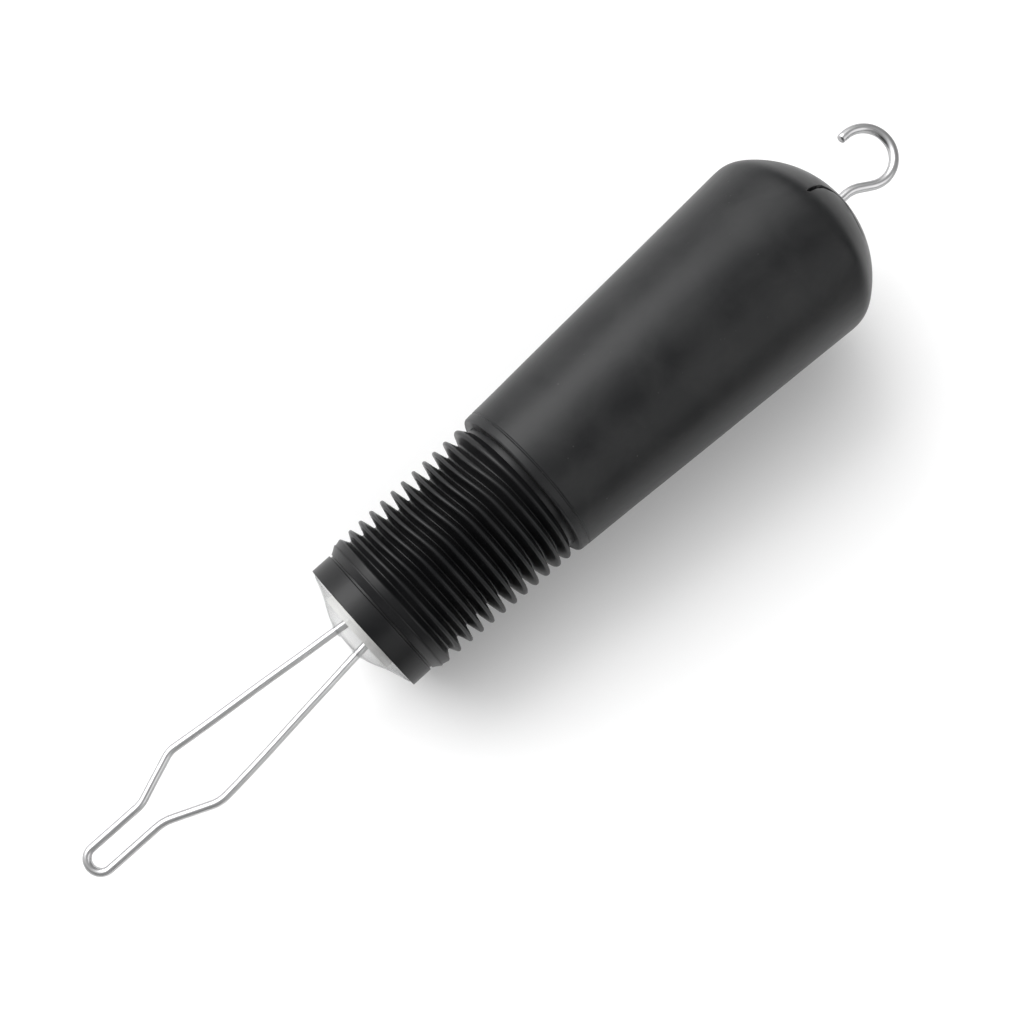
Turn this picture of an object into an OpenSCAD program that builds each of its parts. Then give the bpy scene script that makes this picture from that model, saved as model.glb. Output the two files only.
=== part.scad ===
// Button and zip hook: a wire button loop and a wire zip hook on a built-up rubber grip.
// +X runs along the grip from the loop end to the hook end, and the origin is the centre of
// the collar's front rim. Loop and hook both lie in the XY plane. Millimetres.

/* [Grip] */
// Diameter of the smooth body at its widest place
grip_d = 35.6; // [29:0.1:43]
// Length of the smooth body, from the ribbed neck to the tip of the domed end
body_l = 72.6; // [58:0.1:90]
// Diameter of the smooth body where it meets the ribbed neck
body_front_d = 28.5; // [27:0.1:30]
// Length of the domed end, from the widest place to the tip
dome_l = 11.7; // [9.8:0.1:14]
// Radius of the rounded shoulder between the body and the dome
shoulder_r = 3.6; // [2:0.1:6]
// Rounding of the body's front edge
body_edge_r = 0.5; // [0.2:0.1:0.8]

/* [Ribbed neck] */
// Number of flexible fins round the neck
fin_n = 12; // [8:1:15]
// Distance from one fin to the next
fin_pitch = 2.34; // [1.9:0.02:2.9]
// Diameter over the first fin, next to the collar
fin_front_d = 26.2; // [25.8:0.1:27]
// Diameter over the last fin, next to the body
fin_rear_d = 27.8; // [26:0.1:28.4]
// Rubber left between the core tube and the deepest groove, halfway along the neck
neck_wall = 1.5; // [1:0.1:2.2]
// Depth of the groove before the first fin
groove_front_depth = 0.65; // [0.6:0.05:1]
// Depth of the groove behind the last fin
groove_rear_depth = 1.4; // [0.8:0.1:2]
// Radius of each fin's rounded tip
fin_tip_r = 0.38; // [0.2:0.02:0.4]
// Radius at the bottom of each groove
groove_r = 0.22; // [0.1:0.02:0.24]

/* [Collar] */
// Diameter of the plain collar at the front
collar_d = 24.4; // [20:0.1:25.6]
// Length of the plain collar
collar_l = 3.4; // [2.8:0.1:5]
// Width of the shallow joint line between the collar and the neck
joint_w = 0.25; // [0.2:0.05:0.8]
// Depth of that joint line
joint_depth = 0.2; // [0.1:0.05:0.6]
// Height of the low bead that starts the neck, over the collar
bead_h = 0.75; // [0.2:0.05:1]
// Width of the collar's rim round the clear plug
rim_w = 0.7; // [0.4:0.1:1.2]

/* [Clear end plug] */
// Wall of the collar round the plug's seat
plug_wall = 1.7; // [1.3:0.1:2.4]
// Depth of the plug's seat behind the rim
plug_depth = 2.2; // [1.6:0.1:3]
// Height of the plug's dome in front of the rim
plug_dome_h = 3.5; // [2.4:0.1:4.5]
// Diameter at which the dome has fallen to half its height
plug_boss_d = 14.6; // [14:0.1:17]
// Resin left over the edge of the loop's anchor
plug_cover = 0.35; // [0.2:0.05:0.6]

/* [Core] */
// Outer diameter of the stiff tube inside the grip
core_d = 18; // [15:0.1:21.6]
// Wall of that tube
core_wall = 1.7; // [1.2:0.1:2.2]
// Rubber left between the tube and the tip of the dome
core_cover = 14.9; // [13:0.1:18]
// Length of the loop's anchor plug
loop_anchor_l = 16.4; // [14:0.1:19]
// Length of the hook's anchor plug
hook_anchor_l = 12; // [8:0.1:16]
// Diameter of the crimped ferrules on the wires' inner ends
ferrule_d = 5.2; // [4.4:0.1:6]
// Length of the crimped ferrules
ferrule_l = 6.5; // [5:0.1:9]

/* [Button loop] */
// Diameter of the loop's wire
loop_wire_d = 1.38; // [1:0.02:1.6]
// Length of the loop in front of the rim
loop_l = 56; // [48:0.5:66]
// Half the distance between the wires at the widest bends
loop_wide_y = 5.5; // [4.6:0.05:6.6]
// Distance from the widest bends to the loop's front end
loop_wide_from_tip = 20.9; // [18:0.1:24]
// Half the distance between the wires along the narrow nose
loop_nose_y = 2; // [1.6:0.05:2.3]
// Distance from the start of the nose to the loop's front end
loop_nose_from_tip = 12.5; // [10:0.1:14]
// Bend radius at the widest place
loop_wide_r = 4; // [2:0.5:6]
// Bend radius where the nose starts
loop_nose_r = 5; // [3:0.5:7]
// Angle that the hand-formed loop leans to one side, in degrees
loop_lean = 0.9; // [0:0.1:2]

/* [Zip hook] */
// Diameter of the hook's wire
hook_wire_d = 1.7; // [1.3:0.05:2]
// Radius of the hook's round bend, to the middle of the wire
hook_bend_r = 5.15; // [4.6:0.05:6]
// Distance from the dome's tip to the middle of the round bend
hook_reach = 10.9; // [10:0.1:14]
// Sideways distance from the shank to the middle of the round bend
hook_offset = 2.6; // [2.2:0.05:3]
// Slope of the wire between the shank and the round bend, in degrees
hook_slope = 29; // [24:0.5:34]
// Bend radius where the wire leaves the shank's line
hook_shank_r = 3; // [2:0.25:4]
// Straight length at the hook's free end
hook_end_l = 0.7; // [0.2:0.1:2]
// Sideways distance from the grip's axis to the shank
shank_y = 0.2; // [0:0.05:0.8]

/* [Slit in the dome] */
// Width of the slit that runs from the hook towards the shoulder
slit_w = 0.45; // [0.2:0.05:0.8]
// Length of the slit, measured from the grip's axis
slit_l = 16; // [10:0.5:17]
// Depth of the slit under the dome's surface
slit_depth = 1.6; // [0.8:0.1:3]
// Direction of the slit, in degrees from straight up
slit_turn = 16; // [0:1:60]

/* [Fit] */
// Clearance round the wires where they pass through another piece
wire_gap = 0.02; // [0.01:0.01:0.1]

/* [Hidden] */
$fn = 96;

rubber = "#2b2c2e";
glossy_rubber = "#1c1d1f";
clear = [0.86, 0.88, 0.9, 0.6];
moulded_white = "#e6e6e2";
steel = "#c9cbce";

wire_fn = 32;       // sides of the holes that the wires pass through
wire_sides = 16;    // sides of a wire's round section
bend_step = 11;     // most degrees that a wire turns between two rings
tip_rings = 4;      // rings along the hook's rounded end
arc_steps = 6;      // points along each small rounding in an outline
big_arc_steps = 12; // points along the shoulder's and the dome's arcs
margin = 1;         // how far a cutting shape runs past what it cuts
groove_swell = 0.7; // under 1, the grooves deepen fast at the neck's ends and evenly between
lip_power = 12;     // sharpness of the rounded lip round the plug's edge
boss_power = 4;     // steepness of the plug's raised middle

// Places along the grip
neck_x = collar_l + joint_w;             // front face of the ribbed neck
bead_w = 1.1;                            // length of the low bead's front slope
fin_lead = 2.95;                         // from the neck's front face to the first fin's tip
fin_tail = 2.15;                         // from the last fin's tip to the body
body_x = neck_x + fin_lead + (fin_n - 1) * fin_pitch + fin_tail;
dome_x = body_x + body_l;                // tip of the domed end
core_end_x = dome_x - core_cover;        // rear end of the core tube
core_bore_d = core_d - 2 * core_wall;
mouth_d = collar_d - 2 * rim_w;
plug_d = collar_d - 2 * plug_wall;
loop_anchor_out = plug_dome_h * plug_rise(core_bore_d / 2) - plug_cover; // in front of the rim
loop_anchor_end_x = loop_anchor_l - loop_anchor_out;
hook_anchor_x = core_end_x - hook_anchor_l;
groove_depth = (fin_front_d + fin_rear_d) / 4 - core_d / 2 - neck_wall; // halfway along the neck

// The smooth body's outline: a cone, a shoulder arc tangent to it, and a dome arc tangent to
// the shoulder that ends on the axis
cone_end_x = dome_x - dome_l;
taper = atan((grip_d - body_front_d) / 2 / (cone_end_x - body_x));
shoulder_x = cone_end_x + shoulder_r * sin(taper);
shoulder_y = grip_d / 2 - shoulder_r * cos(taper);
shoulder_back = dome_x - shoulder_x;
dome_r = (pow(shoulder_back, 2) + pow(shoulder_y, 2) - pow(shoulder_r, 2))
         / (2 * (shoulder_back - shoulder_r));
dome_centre_x = dome_x - dome_r;
dome_turn = atan2(shoulder_y, shoulder_x - dome_centre_x);

// The wires' corner points, in the XY plane. Each leg of the loop runs straight from its widest
// bend into the ferrule, where the two legs lie side by side.
loop_wide_x = -loop_l + loop_wide_from_tip;
loop_ferrule_x = loop_anchor_end_x + ferrule_d / 2 * tan(loop_lean); // clear of the anchor's face
ferrule_wire_y = loop_wire_d / 2 + wire_gap;
ferrule_entry = 0.9;                     // from the ferrule's mouth to the legs' last bend
ferrule_bend_x = loop_ferrule_x + ferrule_entry;
ferrule_bend_r = 2;
leg_slope = (loop_wide_y - ferrule_wire_y) / (ferrule_bend_x - loop_wide_x);
ferrule_bore_r = ferrule_wire_y + leg_slope * (ferrule_bend_x - loop_ferrule_x)
                 + loop_wire_d / 2 + wire_gap;
loop_end_x = -loop_l + loop_wire_d / 2;  // the middle of the wire at the loop's front end
loop_corners = [
    [loop_ferrule_x + ferrule_l, ferrule_wire_y],
    [ferrule_bend_x, ferrule_wire_y],
    [loop_wide_x, loop_wide_y],
    [-loop_l + loop_nose_from_tip, loop_nose_y],
    [loop_end_x + loop_nose_y, loop_nose_y]
];
loop_radii = [0, ferrule_bend_r, loop_wide_r, loop_nose_r, 0];

hook_centre = [dome_x + hook_reach, shank_y + hook_offset];
hook_start = hook_centre - hook_bend_r * [sin(hook_slope), cos(hook_slope)];
shank_end_x = hook_start.x - (shank_y - hook_start.y) / tan(hook_slope);
shank_start = [hook_anchor_x - ferrule_l, shank_y];
hook_corners = [shank_start, [shank_end_x, shank_y], hook_start];

// Points of an arc from one angle to another, both ends included
function arc(centre, r, from, to, steps) =
    [for (i = [0:steps]) centre + r * [cos(from + (to - from) * i / steps),
                                       sin(from + (to - from) * i / steps)]];

// Direction from one point to the next, in degrees
function heading(a, b) = atan2(b.y - a.y, b.x - a.x);

// Stations [x, y, heading] along a bend that starts at a point with a heading and turns by an
// angle, to the left if it is above zero
function bend(start, from, turn, r) =
    let (side = sign(turn), steps = ceil(abs(turn) / bend_step),
         centre = start + side * r * [-sin(from), cos(from)])
    [for (i = [0:steps]) let (now = from + turn * i / steps)
        [each centre - side * r * [-sin(now), cos(now)], now]];

// Stations along corner points, with each inner corner rounded to its radius
function rounded(corners, radii) =
    let (last = len(corners) - 1)
    [for (i = [0:last])
        let (before = i == 0 ? heading(corners[0], corners[1]) : heading(corners[i - 1], corners[i]),
             after = i == last ? before : heading(corners[i], corners[i + 1]),
             raw = after - before, turn = raw - 360 * round(raw / 360))
        each turn == 0 ? [[each corners[i], before]]
            : bend(corners[i] - radii[i] * tan(abs(turn) / 2) * [cos(before), sin(before)],
                   before, turn, radii[i])];

// A round wire swept along stations [x, y, heading], each with its own radius
module wire(stations, radii) {
    rings = len(stations);
    points = [for (k = [0:rings - 1], i = [0:wire_sides - 1])
        let (s = stations[k], a = 360 * i / wire_sides)
        [s[0] - radii[k] * cos(a) * sin(s[2]), s[1] + radii[k] * cos(a) * cos(s[2]),
         radii[k] * sin(a)]];
    sides = [for (k = [0:rings - 2], i = [0:wire_sides - 1])
        let (j = (i + 1) % wire_sides, here = k * wire_sides, next = here + wire_sides)
        each [[here + i, here + j, next + j], [here + i, next + j, next + i]]];
    start = [for (i = [wire_sides - 1:-1:0]) i];
    end = [for (i = [0:wire_sides - 1]) (rings - 1) * wire_sides + i];
    polyhedron(points, concat(sides, [start, end]), convexity = 4);
}

// Turns an outline in the XY half-plane above X into a solid round the X axis
module turned() {
    rotate([0, 90, 0]) rotate([0, 0, 90]) rotate_extrude() rotate(-90) mirror([1, 0]) children();
}

// Places a straight round bar between two points of the XY plane
module bar(a, b, r) {
    translate([a.x, a.y, 0]) rotate([0, 0, heading(a, b)]) rotate([0, 90, 0])
        cylinder(r = r, h = norm(b - a), $fn = wire_fn);
}

// The holes that the loop's two legs leave in the pieces that they pass through
module leg_holes() {
    rotate([0, 0, -loop_lean]) for (side = [0, 1]) mirror([0, side, 0])
        bar(loop_corners[2], loop_corners[1], loop_wire_d / 2 + wire_gap);
}

// The hole that the hook's shank leaves in the pieces that it passes through
module shank_hole() {
    bar(shank_start - [margin, 0], [shank_end_x, shank_y], hook_wire_d / 2 + wire_gap);
}

// A plug, tube or ferrule round the grip's axis
module rod(x, l, d) {
    translate([x, 0, 0]) rotate([0, 90, 0]) cylinder(d = d, h = l);
}

// Depth of groove i, counted from the one before the first fin: shallow at both ends of the neck
// and deep in the middle
function groove_at(i) =
    let (t = i / fin_n, ends = groove_front_depth + (groove_rear_depth - groove_front_depth) * t)
    ends + (groove_depth - ends) * pow(sin(180 * t), groove_swell);

fin_first_x = neck_x + fin_lead;
function fin_x(i) = fin_first_x + i * fin_pitch;
function fin_y(i) = (fin_front_d + (fin_rear_d - fin_front_d) * i / (fin_n - 1)) / 2;

// Slope of a fin's flank, in degrees: the line tangent to the round tip and the round groove
function flank(depth) =
    let (across = fin_pitch / 2, up = depth - fin_tip_r - groove_r)
    atan2(up, across) + asin((fin_tip_r + groove_r) / norm([across, up]));

// Outline of fin i: its rounded tip, then the rounded groove behind it
function fin_outline(i) =
    let (before = flank(groove_at(i)), after = flank(groove_at(i + 1)),
         tip = [fin_x(i), fin_y(i) - fin_tip_r])
    concat(arc(tip, fin_tip_r, 90 + before, 90 - after, arc_steps),
           i == fin_n - 1 ? [] :
           arc([fin_x(i) + fin_pitch / 2, fin_y(i) - groove_at(i + 1) + groove_r], groove_r,
               270 - after, 270 + flank(groove_at(i + 1)), arc_steps));

module grip_body() {
    outline = concat(
        [[body_x, core_d / 2]],
        arc([body_x + body_edge_r, body_front_d / 2 - body_edge_r], body_edge_r, 180, 90, arc_steps),
        arc([shoulder_x, shoulder_y], shoulder_r, 90 + taper, dome_turn, big_arc_steps),
        arc([dome_centre_x, 0], dome_r, dome_turn, 0, big_arc_steps),
        [[core_end_x, 0], [core_end_x, core_d / 2]]);
    color(rubber) difference() {
        turned() polygon(outline);
        shank_hole();
        dome_slit();
    }
}

// The slit: a thin plate from the axis outwards, kept to the skin of the dome
module dome_slit() {
    rotate([-slit_turn, 0, 0]) difference() {
        translate([dome_centre_x, -slit_w / 2, 0]) cube([dome_r + margin, slit_w, slit_l]);
        translate([dome_centre_x, 0, 0]) sphere(r = dome_r - slit_depth);
    }
}

module ribbed_neck() {
    outline = concat(
        [[neck_x, core_d / 2], [neck_x, collar_d / 2],
         [neck_x + bead_w, collar_d / 2 + bead_h], [neck_x + bead_w + fin_tip_r, collar_d / 2 + bead_h],
         [fin_first_x - fin_pitch / 2 + fin_tip_r / 2, fin_front_d / 2 - groove_front_depth]],
        [for (i = [0:fin_n - 1]) each fin_outline(i)],
        [[fin_x(fin_n - 1) + fin_pitch / 2, fin_rear_d / 2 - groove_rear_depth],
         [body_x, fin_rear_d / 2 - groove_rear_depth], [body_x, core_d / 2]]);
    color(glossy_rubber) turned() polygon(outline);
}

module front_collar() {
    outline = [
        [0, mouth_d / 2], [0, collar_d / 2], [collar_l, collar_d / 2],
        [collar_l, collar_d / 2 - joint_depth], [neck_x, collar_d / 2 - joint_depth],
        [neck_x, core_d / 2], [plug_depth, core_d / 2], [plug_depth, plug_d / 2],
        [(mouth_d - plug_d) / 2, plug_d / 2]];
    color(glossy_rubber) turned() polygon(outline);
}

module end_plug() {
    outline = concat(
        [[plug_depth, 0], [plug_depth, plug_d / 2], [(mouth_d - plug_d) / 2, plug_d / 2],
         [0, mouth_d / 2]],
        [for (i = [1:big_arc_steps])
            let (y = mouth_d / 2 * (1 - i / big_arc_steps))
            [-plug_dome_h * plug_rise(y), y]]);
    color(clear) difference() {
        turned() polygon(outline);
        rod(-loop_anchor_out, loop_anchor_out + plug_depth + margin, core_bore_d);
        leg_holes();
    }
}

// Share of the dome's height at a distance from the axis: a raised middle that flattens out
// towards a small rounded lip at the collar's mouth
function plug_rise(y) =
    sqrt(max(0, 1 - pow(2 * y / mouth_d, lip_power))) / (1 + pow(2 * y / plug_boss_d, boss_power));

module core_tube() {
    color(moulded_white) difference() {
        rod(plug_depth, core_end_x - plug_depth, core_d);
        rod(plug_depth - margin, core_end_x - plug_depth + 2 * margin, core_bore_d);
    }
}

module loop_anchor() {
    color(moulded_white) difference() {
        rod(-loop_anchor_out, loop_anchor_l, core_bore_d);
        leg_holes();
    }
}

module button_loop() {
    leg = rounded(loop_corners, loop_radii);
    front = bend([loop_end_x + loop_nose_y, loop_nose_y], 180, 180, loop_nose_y);
    other_leg = [for (i = [len(leg) - 1:-1:0]) [leg[i][0], -leg[i][1], 180 - leg[i][2]]];
    path = concat([for (i = [0:len(leg) - 2]) leg[i]], front,
                  [for (i = [1:len(other_leg) - 1]) other_leg[i]]);
    color(steel) rotate([0, 0, -loop_lean]) wire(path, [for (s = path) loop_wire_d / 2]);
}

module loop_ferrule() {
    color(steel) rotate([0, 0, -loop_lean]) difference() {
        rod(loop_ferrule_x, ferrule_l, ferrule_d);
        rod(loop_ferrule_x - margin, ferrule_l + 2 * margin, 2 * ferrule_bore_r);
    }
}

module hook_anchor() {
    color(moulded_white) difference() {
        rod(hook_anchor_x, hook_anchor_l, core_bore_d);
        shank_hole();
    }
}

module zipper_hook() {
    r = hook_wire_d / 2;
    shank = rounded(hook_corners, [0, hook_shank_r, 0]);
    curl = bend(hook_start, -hook_slope, 180 + hook_slope, hook_bend_r);
    end = hook_centre + [-hook_end_l, hook_bend_r];
    path = concat([for (i = [0:len(shank) - 2]) shank[i]], curl,
                  [for (i = [0:tip_rings - 1]) [end.x - r * sin(90 * i / tip_rings), end.y, 180]]);
    plain = len(path) - tip_rings;
    color(steel) wire(path, [for (k = [0:len(path) - 1])
        r * cos(90 * max(0, k - plain) / tip_rings)]);
}

module hook_ferrule() {
    color(steel) difference() {
        translate([0, shank_y, 0]) rod(hook_anchor_x - ferrule_l, ferrule_l, ferrule_d);
        shank_hole();
    }
}

grip_body();
ribbed_neck();
front_collar();
end_plug();
core_tube();
loop_anchor();
button_loop();
loop_ferrule();
hook_anchor();
zipper_hook();
hook_ferrule();
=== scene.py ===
import math

import bpy
import numpy as np
from mathutils import Matrix, Vector


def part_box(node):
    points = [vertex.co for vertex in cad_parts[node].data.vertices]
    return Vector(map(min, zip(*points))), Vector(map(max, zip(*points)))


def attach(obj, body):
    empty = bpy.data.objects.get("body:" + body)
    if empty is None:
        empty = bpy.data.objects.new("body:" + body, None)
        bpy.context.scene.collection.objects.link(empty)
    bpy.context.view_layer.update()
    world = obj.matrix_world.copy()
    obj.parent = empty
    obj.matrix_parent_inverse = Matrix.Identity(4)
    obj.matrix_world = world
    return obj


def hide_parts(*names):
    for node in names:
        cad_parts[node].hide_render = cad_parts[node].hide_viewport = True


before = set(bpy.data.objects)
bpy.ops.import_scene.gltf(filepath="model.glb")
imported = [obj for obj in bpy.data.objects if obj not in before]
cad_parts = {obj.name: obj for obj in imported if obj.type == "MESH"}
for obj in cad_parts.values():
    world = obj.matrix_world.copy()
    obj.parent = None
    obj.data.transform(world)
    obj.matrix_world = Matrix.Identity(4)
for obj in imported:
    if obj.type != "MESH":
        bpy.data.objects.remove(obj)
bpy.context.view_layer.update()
print("frame loaded:", ", ".join(sorted(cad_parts)))

mm = 0.001
gripLow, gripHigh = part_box("grip_body")
neckLow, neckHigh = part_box("ribbed_neck")
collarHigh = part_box("front_collar")[1]
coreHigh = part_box("core_tube")[1]
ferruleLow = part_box("loop_ferrule")[0]
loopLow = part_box("button_loop")[0]
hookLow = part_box("zipper_hook")[0]
coreRadius = coreHigh.z

# the lens is over the collar and leans towards the hook end
cameraSetup = {
    "footX": 3.34 * mm,       # point of the axis straight under the lens, behind the rim
    "footY": -2.1 * mm,
    "height": 198.7 * mm,     # above the grip's axis
    "tilt": 7.78,             # degrees that it leans towards the hook end
    "roll": 41.9,             # degrees from the picture's horizontal to the grip's axis
    "lens": 43.07,            # focal length and sensor width, both in millimetres
    "sensor": 36,
    "nearest": 10 * mm,       # anything closer than this isn't drawn
}


def makeCamera(setup):
    tilt, roll = math.radians(setup["tilt"]), math.radians(setup["roll"])
    along = Vector((math.cos(tilt), 0, math.sin(tilt)))   # the grip's direction across the picture
    across = Vector((0, 1, 0))
    back = Vector((-math.sin(tilt), 0, math.cos(tilt)))
    right = math.cos(roll) * along - math.sin(roll) * across
    up = math.sin(roll) * along + math.cos(roll) * across
    data = bpy.data.cameras.new("camera")
    data.lens = setup["lens"]
    data.sensor_width = setup["sensor"]
    data.clip_start = setup["nearest"]
    camera = bpy.data.objects.new("camera", data)
    camera.matrix_world = Matrix((
        (right.x, up.x, back.x, setup["footX"]),
        (right.y, up.y, back.y, setup["footY"]),
        (right.z, up.z, back.z, setup["height"]),
        (0, 0, 0, 1)))
    bpy.context.collection.objects.link(camera)
    bpy.context.scene.camera = camera


makeCamera(cameraSetup)
print("camera made")


# curve helpers: a path or outline is an array with one point a row

def arc(centre, radius, start, end, count):
    # centre + radius * (cos, sin) of an angle that runs evenly from start to end, in radians
    turn = np.linspace(start, end, count)
    return np.stack([centre[0] + radius * np.cos(turn), centre[1] + radius * np.sin(turn)], axis=1)


def evenly(outline, spacing):
    # places points along straight and curved stretches alike, no further apart than spacing,
    # and keeps every point that the outline already has; only the first two columns are lengths
    outline = np.asarray(outline, float)
    step = np.linalg.norm(np.diff(outline[:, :2], axis=0), axis=1)
    pieces = np.maximum(1, np.ceil(step / spacing).astype(int))
    start = np.repeat(np.arange(len(step)), pieces)
    share = np.arange(pieces.sum()) - np.repeat(np.cumsum(pieces) - pieces, pieces)
    share = (share / np.repeat(pieces, pieces))[:, None]
    points = outline[start] + (outline[start + 1] - outline[start]) * share
    return np.vstack([points, outline[-1:]])


def spread(turns, fine, coarse):
    # angles right round in degrees: fine steps inside (from, to), coarse steps outside
    inside = np.arange(turns[0], turns[1], fine)
    outside = np.linspace(turns[1], turns[0] + 360, int((360 + turns[0] - turns[1]) / coarse))[:-1]
    return np.radians(np.concatenate([inside, outside]))


def swell(x, low, high):
    # 0 below low, 1 above high, and a smooth cubic step between: 3t^2 - 2t^3
    t = np.clip((x - low) / (high - low), 0, 1)
    return t * t * (3 - 2 * t)


def rounded(corners, radii, step, bendStep=0.03):
    # stations (x, y, heading) along straight runs whose corners are arcs tangent to both runs:
    # an arc of radius r at a turn of a starts r * tan(a / 2) before its corner. Stations are no more
    # than a step apart in metres, or a bendStep apart in radians on an arc
    corners = np.asarray(corners, float)
    run = np.diff(corners, axis=0)
    heading = np.unwrap(np.arctan2(run[:, 1], run[:, 0]))
    stations = [np.array([[*corners[0], heading[0]]])]
    for i in range(1, len(corners) - 1):
        turn = heading[i] - heading[i - 1]
        back = radii[i] * math.tan(abs(turn) / 2)
        side = math.copysign(1, turn)
        way = np.array([math.cos(heading[i - 1]), math.sin(heading[i - 1])])
        centre = corners[i] - back * way + side * radii[i] * np.array([-way[1], way[0]])
        now = np.linspace(heading[i - 1], heading[i], 2 + int(abs(turn) / bendStep))
        stations.append(np.stack([centre[0] + side * radii[i] * np.sin(now),
                                  centre[1] - side * radii[i] * np.cos(now), now], axis=1))
    stations.append(np.array([[*corners[-1], heading[-1]]]))
    return evenly(np.vstack(stations), step)


# mesh helpers

def skin(points):
    # rows x columns x 3 points, where every row is a ring: neighbours are joined by quads, and the
    # first and the last ring are each closed by a fan of triangles to their middle point
    rows, columns = points.shape[:2]
    number = np.arange(rows * columns).reshape(rows, columns)
    right = np.roll(number, -1, axis=1)
    quads = np.stack([number[:-1], number[1:], right[1:], right[:-1]], axis=-1).reshape(-1, 4)
    vertices = points.reshape(-1, 3)
    faces = quads.tolist()
    for row, order in ((0, 1), (rows - 1, -1)):
        middle = np.full(columns, len(vertices))
        vertices = np.vstack([vertices, points[row].mean(axis=0)])
        faces += np.stack([number[row], right[row], middle], axis=-1)[:, ::order].tolist()
    return vertices, faces


def closedSkin(points):
    # like skin, but the last ring joins up with the first, so the piece has a hole along its axis
    rows, columns = points.shape[:2]
    number = np.arange(rows * columns).reshape(rows, columns)
    down, right = np.roll(number, -1, axis=0), np.roll(number, -1, axis=1)
    faces = np.stack([number, down, np.roll(down, -1, axis=1), right], axis=-1).reshape(-1, 4)
    return points.reshape(-1, 3), faces.tolist()


def addPiece(name, vertices, faces, node, slot, material, smoothTo=40):
    mesh = bpy.data.meshes.new(name)
    mesh.from_pydata(vertices.tolist(), [], faces)
    mesh.validate()
    mesh.update()
    # a closed skin holds a volume above zero when its faces point outwards
    mesh.calc_loop_triangles()
    corners = np.empty(len(mesh.loop_triangles) * 3, dtype=np.int32)
    mesh.loop_triangles.foreach_get("vertices", corners)
    place = np.empty(len(mesh.vertices) * 3)
    mesh.vertices.foreach_get("co", place)
    a, b, c = place.reshape(-1, 3)[corners.reshape(-1, 3)].transpose(1, 0, 2)
    volume = np.einsum("ij,ij->i", a, np.cross(b, c)).sum() / 6
    if volume < 0:
        mesh.flip_normals()
    mesh.shade_smooth()
    mesh.set_sharp_from_angle(angle=math.radians(smoothTo))
    mesh.materials.append(material)
    piece = bpy.data.objects.new(name, mesh)
    bpy.context.collection.objects.link(piece)
    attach(piece, "root")
    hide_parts(node)
    print(name, len(mesh.loop_triangles), "triangles,", round(abs(volume) * 1e9, 1), "mm3")
    return piece


# material helpers

def newMaterial(name, **sockets):
    material = bpy.data.materials.new(name)
    material.use_nodes = True
    shader = material.node_tree.nodes["Principled BSDF"]
    for socket, value in sockets.items():
        shader.inputs[socket.replace("_", " ")].default_value = value
    return material, material.node_tree, shader


def addNode(tree, kind, **settings):
    node = tree.nodes.new("ShaderNode" + kind)
    for key, value in settings.items():
        if hasattr(node, key):
            setattr(node, key, value)
        else:
            node.inputs[key.replace("_", " ")].default_value = value
    return node


def noise(tree, coordinates, scale, detail=2.0, roughness=0.5, distortion=0.0):
    node = addNode(tree, "TexNoise", Scale=scale, Detail=detail, Roughness=roughness,
                   Distortion=distortion)
    tree.links.new(coordinates, node.inputs["Vector"])
    return node.outputs["Fac"]


def ramp(tree, value, *stops):
    # a colour ramp through (position, grey or colour) stops
    node = addNode(tree, "ValToRGB")
    elements = node.color_ramp.elements
    while len(elements) < len(stops):
        elements.new(0.5)
    for element, (position, colour) in zip(elements, stops):
        element.position = position
        element.color = (*colour, 1) if hasattr(colour, "__len__") else (colour, colour, colour, 1)
    tree.links.new(value, node.inputs["Fac"])
    return node.outputs["Color"]


def stretch(tree, coordinates, scale):
    node = addNode(tree, "Mapping")
    node.inputs["Scale"].default_value = scale
    tree.links.new(coordinates, node.inputs["Vector"])
    return node.outputs["Vector"]


def mix(tree, kind, factor, first, second):
    node = addNode(tree, "MixRGB", blend_type=kind)
    for socket, value in (("Fac", factor), ("Color1", first), ("Color2", second)):
        if hasattr(value, "is_linked"):
            tree.links.new(value, node.inputs[socket])
        else:
            node.inputs[socket].default_value = value
    return node.outputs["Color"]


def bumps(tree, shader, *layers):
    # each layer is (height, strength, distance), and one bump is passed on to the next
    below = None
    for height, strength, distance in layers:
        node = addNode(tree, "Bump", Strength=strength, Distance=distance)
        tree.links.new(height, node.inputs["Height"])
        if below:
            tree.links.new(below, node.inputs["Normal"])
        below = node.outputs["Normal"]
    tree.links.new(below, shader.inputs["Normal"])


rubber = {
    "gloss": 0.20,                        # specular level
    "speck": (0.05, 0.05, 0.049, 1),      # colour of lint and dust grains
    "cloud": 120,                         # patches a metre of the slow tone change
    "cloudStops": (0.35, 0.7),            # noise values at which it starts and is complete
    "grains": 900,                        # dust grains a metre
    "grainSize": 0.16,                    # as a share of their spacing
    "flocks": 420,                        # patches a metre of where the grains lie
    "flockStops": (0.60, 0.68),
    "scuff": (60, 420, 420),              # scuffs a metre along x, y and z
    "scuffShare": 0.35,                   # of the shine that the scuffs change
    "shineStops": (0.3, 0.7),
    "skin": (2600, 0.10, 0.05 * mm),      # patches a metre, strength and height of the fine skin
    "dents": (260, 0.18, 0.12 * mm),
    "scuffBump": (0.10, 0.06 * mm),
}
gripRubber = {
    "tone": (0.0105, 0.0108, 0.0115),
    "dusty": (0.0185, 0.0188, 0.0193),    # where handling has left it paler
    "smooth": 0.32,
    "rough": 0.42,
    "specks": 1.0,                        # how fully the grains cover the rubber
}
neckRubber = {
    "tone": (0.006, 0.0062, 0.0068),
    "dusty": (0.011, 0.011, 0.0115),
    "smooth": 0.27,
    "rough": 0.38,
    "specks": 0.5,
}


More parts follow.
